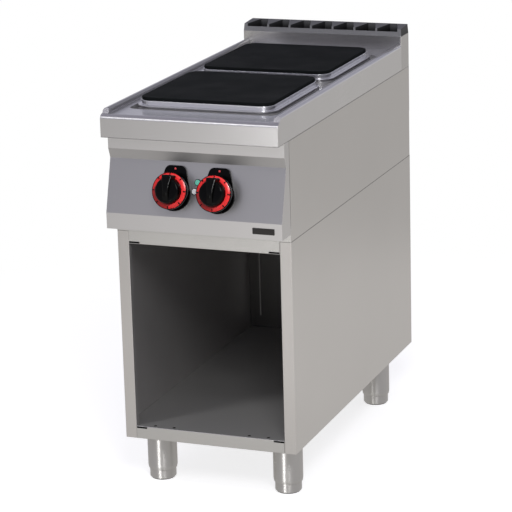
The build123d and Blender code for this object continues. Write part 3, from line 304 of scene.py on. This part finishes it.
finish = {
    "cabinet_side_left": side_steel, "cabinet_side_right": side_steel,
    "casing_side_left": side_steel, "casing_side_right": side_steel,
    "worktop": deck_steel, "control_panel": panel_steel, "badge_plate": badge,
    "cabinet_shelf": shelf_steel, "cabinet_back": back_steel_painted_shade, "flue_box": flue_steel,
    "flue_grille": grille_iron, "casing_back": galvanised, "plate_covers": galvanised,
    "clamp_bars": galvanised, "base_channel_front": galvanised,
    "base_channel_rear": galvanised, "heating_elements": sheath,
    "equipotential_stud": brass, "pointer_marks": mark_red, "plate_terminals": ceramic,
    "mains_terminal_block": beige, "wiring_harness": cable,
    "pilot_lens_green": green_lens, "pilot_lens_white": white_lens,
}
starts = {
    "hot_plate": iron, "plate_ring": polished, "leg_guide": dull_black, "leg_nuts": zinc,
    "leg_": leg_steel, "foot_pad": dull_black, "foot_": leg_steel, "knob": black,
    "dial_ring": red, "energy_switch": beige, "switch_shaft": zinc, "plate_studs": zinc,
    "plate_nuts": zinc, "machine_screws": zinc, "hinge_slot": shade_and_tick_black,
    "cable_gland": dull_black, "pilot_lamp_bodies": dull_black,
}


def finish_for(name):
    """Material of a node: its own, or the first whose start fits its name."""
    if name in finish:
        return finish[name].mat
    for start, material in starts.items():
        if name.startswith(start):
            return material.mat
    return steel.mat


for name, node in nodes.items():
    material = finish_for(name)
    for slot in node.material_slots:
        slot.material = material

# ---------------------------------------------------------------- knobs
def to_mesh(name, verts, faces, material, corner=35.0):
    """A mesh object in metres from points and faces, with its sharp edges kept."""
    data = bpy.data.meshes.new(name)
    data.from_pydata([tuple(v) for v in verts], [], faces)
    data.update()
    mesh = bmesh.new()
    mesh.from_mesh(data)
    bmesh.ops.remove_doubles(mesh, verts=mesh.verts, dist=1e-6)
    bmesh.ops.recalc_face_normals(mesh, faces=mesh.faces)
    mesh.to_mesh(data)
    mesh.free()
    for face in data.polygons:
        face.use_smooth = True
    data.set_sharp_from_angle(angle=math.radians(corner))
    data.materials.append(material)
    obj = bpy.data.objects.new(name, data)
    scene.collection.objects.link(obj)
    return obj


def rounded(points, steps=4):
    """Profile with each marked corner (r, h, radius) drawn as an arc."""
    out = []
    for n, point in enumerate(points):
        if len(point) == 2 or n in (0, len(points) - 1):
            out.append(Vector(point[:2]))
            continue
        here, size = Vector(point[:2]), point[2]
        before = (Vector(points[n - 1][:2]) - here).normalized()
        after = (Vector(points[n + 1][:2]) - here).normalized()
        reach = size / math.tan(before.angle(after) / 2)
        a, c = here + before * reach, here + after * reach
        for k in range(steps + 1):
            t = k / steps
            out.append((1 - t) ** 2 * a + 2 * t * (1 - t) * here + t ** 2 * c)
    return out


def knob_frame(joint):
    """Millimetre frame of a knob: x to the right, y up the panel, z out along its axis."""
    origin = Vector(joint["pos_m"])
    out = Vector(joint["axis"]).normalized()
    right = Vector((1, 0, 0))
    up = out.cross(right)
    turn = Matrix((right, up, out)).transposed().to_4x4()
    return Matrix.Translation(origin) @ turn @ Matrix.Scale(0.001, 4)


def revolve(name, profile, place, material, around=96):
    """Turn a profile (radius, height) about the knob's axis."""
    verts, faces = [], []
    count = len(profile)
    for k in range(around):
        angle = 2 * math.pi * k / around
        for r, h in profile:
            verts.append(place @ Vector((r * math.sin(angle), r * math.cos(angle), h)))
    for k in range(around):
        for n in range(count - 1):
            a, b = k * count + n, ((k + 1) % around) * count + n
            faces.append((a, a + 1, b + 1, b))
    return to_mesh(name, verts, faces, material)


# millimetres in the knob's own frame: radii, and heights along its axis
skirt_start, skirt_radius = 13.0, 39.5
dial_face, dial_outer, dial_foot = 35.5, 37.8, 33.0
hub_radius, hub_top = 28.8, dial_face + 13.5
ring_inner = 29.0
grip_tail, grip_tip = -26.0, 33.0
grip_base, grip_high = dial_face + 0.5, dial_face + 20.5
grip_crown = 0.5            # the grip's highest place, from the axis towards its tip
tick_inner, tick_outer, tick_half, tick_lift = 32.6, 37.7, 1.3, 0.18
# share of the grip's height, and how far inside its foot's outline its flank runs there
grip_flank = ((0.0, 0.0), (0.10, 0.5), (0.30, 1.4), (0.55, 2.3), (0.80, 2.8), (0.90, 3.0),
              (0.95, 3.5), (0.98, 4.3), (1.0, 5.9))


def dial_height(r):
    """Height of the convex dial at a radius."""
    t = max(0.0, min(1.0, (r - ring_inner) / (dial_outer - ring_inner)))
    return dial_face - 0.8 - 2.6 * t ** 2.0


def roll(distance, reach):
    """Quarter round: 0 at an end, and 1 from a reach behind it."""
    t = min(1.0, distance / reach)
    return math.sqrt(max(0.0, 1 - (1 - t) ** 2))


def pointer(place):
    """Grip that widens to its pointer end; its top is an arc and its flanks are scooped."""
    rows, across = 33, 2 * len(grip_flank)
    chord, rise = 26.5, 10.0
    arc = (chord ** 2 + rise ** 2) / (2 * rise)
    tip_drop, drop_reach = 3.0, 30.5
    verts, faces = [], []
    for k in range(rows):
        t = 0.5 - 0.5 * math.cos(math.pi * k / (rows - 1))
        along = grip_tail + (grip_tip - grip_tail) * t
        half = 9.0 + 0.6 * t if along < 0 else 9.6 + 5.2 * (along / grip_tip) ** 1.2
        if along <= grip_crown:
            high = grip_high - (arc - math.sqrt(arc ** 2 - (along - grip_crown) ** 2))
        else:
            high = grip_high - tip_drop * ((along - grip_crown) / drop_reach) ** 2
        tip_roll, tail_roll = roll(grip_tip - along, 3.0), roll(along - grip_tail, 4.0)
        half -= 3.4 * (1 - tip_roll)
        top = grip_base + (high - grip_base) * (0.55 + 0.45 * tip_roll * tail_roll)
        line = [(half - cut, grip_base + (top - grip_base) * share) for share, cut in grip_flank]
        for x, h in [(-x, h) for x, h in line] + [(x, h) for x, h in reversed(line)]:
            verts.append(place @ Vector((x, along, h)))
    for k in range(rows - 1):
        for n in range(across - 1):
            a, b = k * across + n, (k + 1) * across + n
            faces.append((a, a + 1, b + 1, b))
    faces.append(tuple(range(across)))
    faces.append(tuple(range((rows - 1) * across, rows * across)))
    return verts, faces


def ticks(place, count=8, steps=4):
    """Flat radial marks that follow the dial's dome."""
    verts, faces = [], []
    for k in range(count):
        angle = 2 * math.pi * k / count
        for n in range(steps + 1):
            r = tick_inner + (tick_outer - tick_inner) * n / steps
            for side in (-tick_half, tick_half):
                verts.append(place @ Vector((r * math.sin(angle) + side * math.cos(angle),
                                             r * math.cos(angle) - side * math.sin(angle),
                                             dial_height(r) + tick_lift)))
        for n in range(steps):
            a = 2 * (k * (steps + 1) + n)
            faces.append((a, a + 1, a + 3, a + 2))
    return verts, faces


def knob_pieces(hand):
    """Skirt with hub, grip, dial and ticks of one knob, in place of its two CAD nodes."""
    place = knob_frame(next(j for j in frame["joints"] if j["name"] == f"knob_{hand}_turn"))
    skirt = revolve(f"knob_skirt_{hand}", rounded([
        (0.0, skirt_start), (skirt_radius - 3.0, skirt_start, 0.8), (skirt_radius, 27.5, 6.0),
        (skirt_radius, 31.6, 1.6), (37.9, 32.4), (37.9, 30.5), (hub_radius, dial_foot),
        (hub_radius, dial_face - 0.4), (hub_radius - 0.6, dial_face + 3.0, 2.0),
        (hub_radius - 2.6, hub_top, 6.0), (0.0, hub_top + 0.4)], 6), place, black.mat)
    grip = to_mesh(f"knob_grip_{hand}", *pointer(place), grip_black.mat, 40.0)
    radii = [ring_inner + (dial_outer - ring_inner) * k / 12 for k in range(13)]
    ring = revolve(f"dial_{hand}", [(ring_inner, dial_foot)] + [(r, dial_height(r)) for r in radii]
                   + [(dial_outer, 31.9)], place, red.mat)
    marks = to_mesh(f"dial_marks_{hand}", *ticks(place), shade_and_tick_black.mat)
    for piece in (skirt, grip, ring, marks):
        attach(piece, f"knob_{hand}")
    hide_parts(f"knob_{hand}")
    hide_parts(f"dial_ring_{hand}")


for hand in ("left", "right"):
    knob_pieces(hand)

# ---------------------------------------------------------------- floor, light and camera
floor = bpy.data.objects.new("floor", bpy.data.meshes.new("floor"))
scene.collection.objects.link(floor)
edge = 14.0
floor.data.from_pydata([(-edge, -edge, 0), (edge, -edge, 0), (edge, edge, 0), (-edge, edge, 0)],
                       [], [(0, 1, 2, 3)])
ground = Mat("pale_floor", (0.62, 0.62, 0.62), 0.9)
ray = ground.add("ShaderNodeLightPath").outputs
point = ground.add("ShaderNodeNewGeometry").outputs["Position"]
flat = ground.add("ShaderNodeSeparateXYZ", {0: point}).outputs
away = ground.add("ShaderNodeVectorMath", {0: point}, operation="LENGTH").outputs["Value"]
# seen directly the floor is white and keeps the object's shadow
shadowed = ground.add("ShaderNodeAddShader", {
    0: ground.bsdf.outputs[0],
    1: ground.add("ShaderNodeEmission", {"Color": (1, 1, 1, 1), "Strength": 0.70}).outputs[0]})
paper = ground.add("ShaderNodeEmission", {"Color": (1, 1, 1, 1), "Strength": 1.0})
seen = ground.add("ShaderNodeMixShader", {0: ground.ramp(away, 0.7, 1.7, 0.0, 1.0),
                                          1: shadowed.outputs[0], 2: paper.outputs[0]})
# seen in metal it is a studio floor that glows, with a painted shadow of the object near it, and dimmer at
# the left and at the back
dim = ground.math("ADD", ground.ramp(away, 0.4, 1.6, 0.22, 0.55),
                  ground.ramp(flat["X"], -1.6, -0.2, 0.0, 0.50))
dim = ground.math("ADD", dim, ground.ramp(flat["Y"], 0.3, 2.0, 0.0, -0.44))
mirrored = ground.add("ShaderNodeEmission", {"Color": (1.0, 0.975, 0.945, 1), "Strength": dim})
bounce = ground.add("ShaderNodeMixShader", {0: ray["Is Glossy Ray"], 1: ground.bsdf.outputs[0],
                                            2: mirrored.outputs[0]})
direct = ground.math("MAXIMUM", ray["Is Camera Ray"], ray["Is Transmission Ray"])
choice = ground.add("ShaderNodeMixShader", {0: direct, 1: bounce.outputs[0], 2: seen.outputs[0]})
ground.link(choice.outputs[0], ground.tree.nodes["Material Output"].inputs["Surface"])
floor.data.materials.append(ground.mat)

world = bpy.data.worlds.new("studio")
scene.world = world
world.use_nodes = True
world.node_tree.nodes.clear()
room = Nodes(world.node_tree)
height = room.add("ShaderNodeSeparateXYZ", {0: room.add("ShaderNodeTexCoord").outputs["Generated"]})
shades = room.add("ShaderNodeValToRGB", {0: room.ramp(height.outputs["Z"], -1.0, 1.0, 0.0, 1.0)})
first, last = shades.color_ramp.elements
first.position, first.color = 0.0, (0.34, 0.33, 0.31, 1)
last.position, last.color = 1.0, (0.200, 0.194, 0.230, 1)
# the horizon is at 0.5
for level, tint in ((0.50, (0.42, 0.415, 0.41, 1)), (0.53, (0.42, 0.42, 0.44, 1)),
                    (0.57, (0.38, 0.38, 0.41, 1)), (0.62, (0.275, 0.275, 0.325, 1)),
                    (0.80, (0.235, 0.23, 0.265, 1))):
    shades.color_ramp.elements.new(level).color = tint
walls = room.add("ShaderNodeBackground", {"Color": shades.outputs[0], "Strength": 1.8})
white = room.add("ShaderNodeBackground", {"Color": (1, 1, 1, 1)})
path = room.add("ShaderNodeLightPath").outputs
straight = room.math("MAXIMUM", path["Is Camera Ray"], path["Is Transmission Ray"])
view = room.add("ShaderNodeMixShader", {0: straight, 1: walls.outputs[0], 2: white.outputs[0]})
room.add("ShaderNodeOutputWorld", {0: view.outputs[0]})


def softbox(name, spot, target, size, power, mirrored=True):
    """Area lamp that faces a point."""
    lamp = bpy.data.lights.new(name, "AREA")
    lamp.shape = "RECTANGLE"
    lamp.size, lamp.size_y = size
    lamp.energy = power
    obj = bpy.data.objects.new(name, lamp)
    scene.collection.objects.link(obj)
    obj.location = spot
    obj.visible_camera = False
    obj.visible_glossy = mirrored
    obj.rotation_euler = (Vector(target) - Vector(spot)).to_track_quat("-Z", "Y").to_euler()
    return obj


softbox("key", (1.5, -2.9, 2.7), (0, 0, 0.5), (1.0, 1.0), 45.0)
softbox("top", (0.0, -1.6, 2.5), (0, -0.2, 0.85), (3.0, 0.30), 8.0)
softbox("strip", (-0.62, -3.3, 0.40), (0, -0.3, 0.3), (0.20, 0.60), 1.9)
fill = softbox("fill", (-2.7, -3.4, 2.2), (0, 0, 0.4), (0.8, 0.8), 130.0, False)
glint = softbox("glint", (-0.45, -3.6, 0.9), (0, -0.3, 0.1), (0.26, 1.20), 54.0)
spark = softbox("spark", (1.2, -2.9, 1.95), (0, -0.4, 0.7), (0.26, 1.20), 85.0)
rake = softbox("rake", (1.6, -1.9, 2.6), (0, -0.4, 0.7), (0.30, 0.30), 135.0)


def only_on(lamp, pieces):
    """Let a lamp light some pieces alone."""
    group = bpy.data.collections.new(lamp.name + "_pieces")
    for piece in pieces:
        group.objects.link(piece)
    lamp.light_linking.receiver_collection = group


only_on(fill, [node for name, node in nodes.items() if name.startswith("cabinet_")])
only_on(glint, [node for name, node in nodes.items() if finish_for(name) is leg_steel.mat])
only_on(rake, [bpy.data.objects[f"dial_{hand}"] for hand in ("left", "right")])
only_on(spark, [bpy.data.objects[f"knob_grip_{hand}"] for hand in ("left", "right")])

camera = bpy.data.objects.new("camera", bpy.data.cameras.new("camera"))
scene.collection.objects.link(camera)
scene.camera = camera
camera.data.sensor_width = 36.0
camera.data.lens = 166.54
camera.data.clip_end = 100.0
view_right = Vector((0.93397, 0.35633, -0.02684))
view_up = Vector((-0.07107, 0.25885, 0.96330))
view_back = Vector((0.35020, -0.89779, 0.26708))
camera_turn = Matrix((view_right, view_up, view_back)).transposed().to_4x4()
camera.matrix_world = Matrix.Translation((1.87644, -4.87553, 1.89457)) @ camera_turn
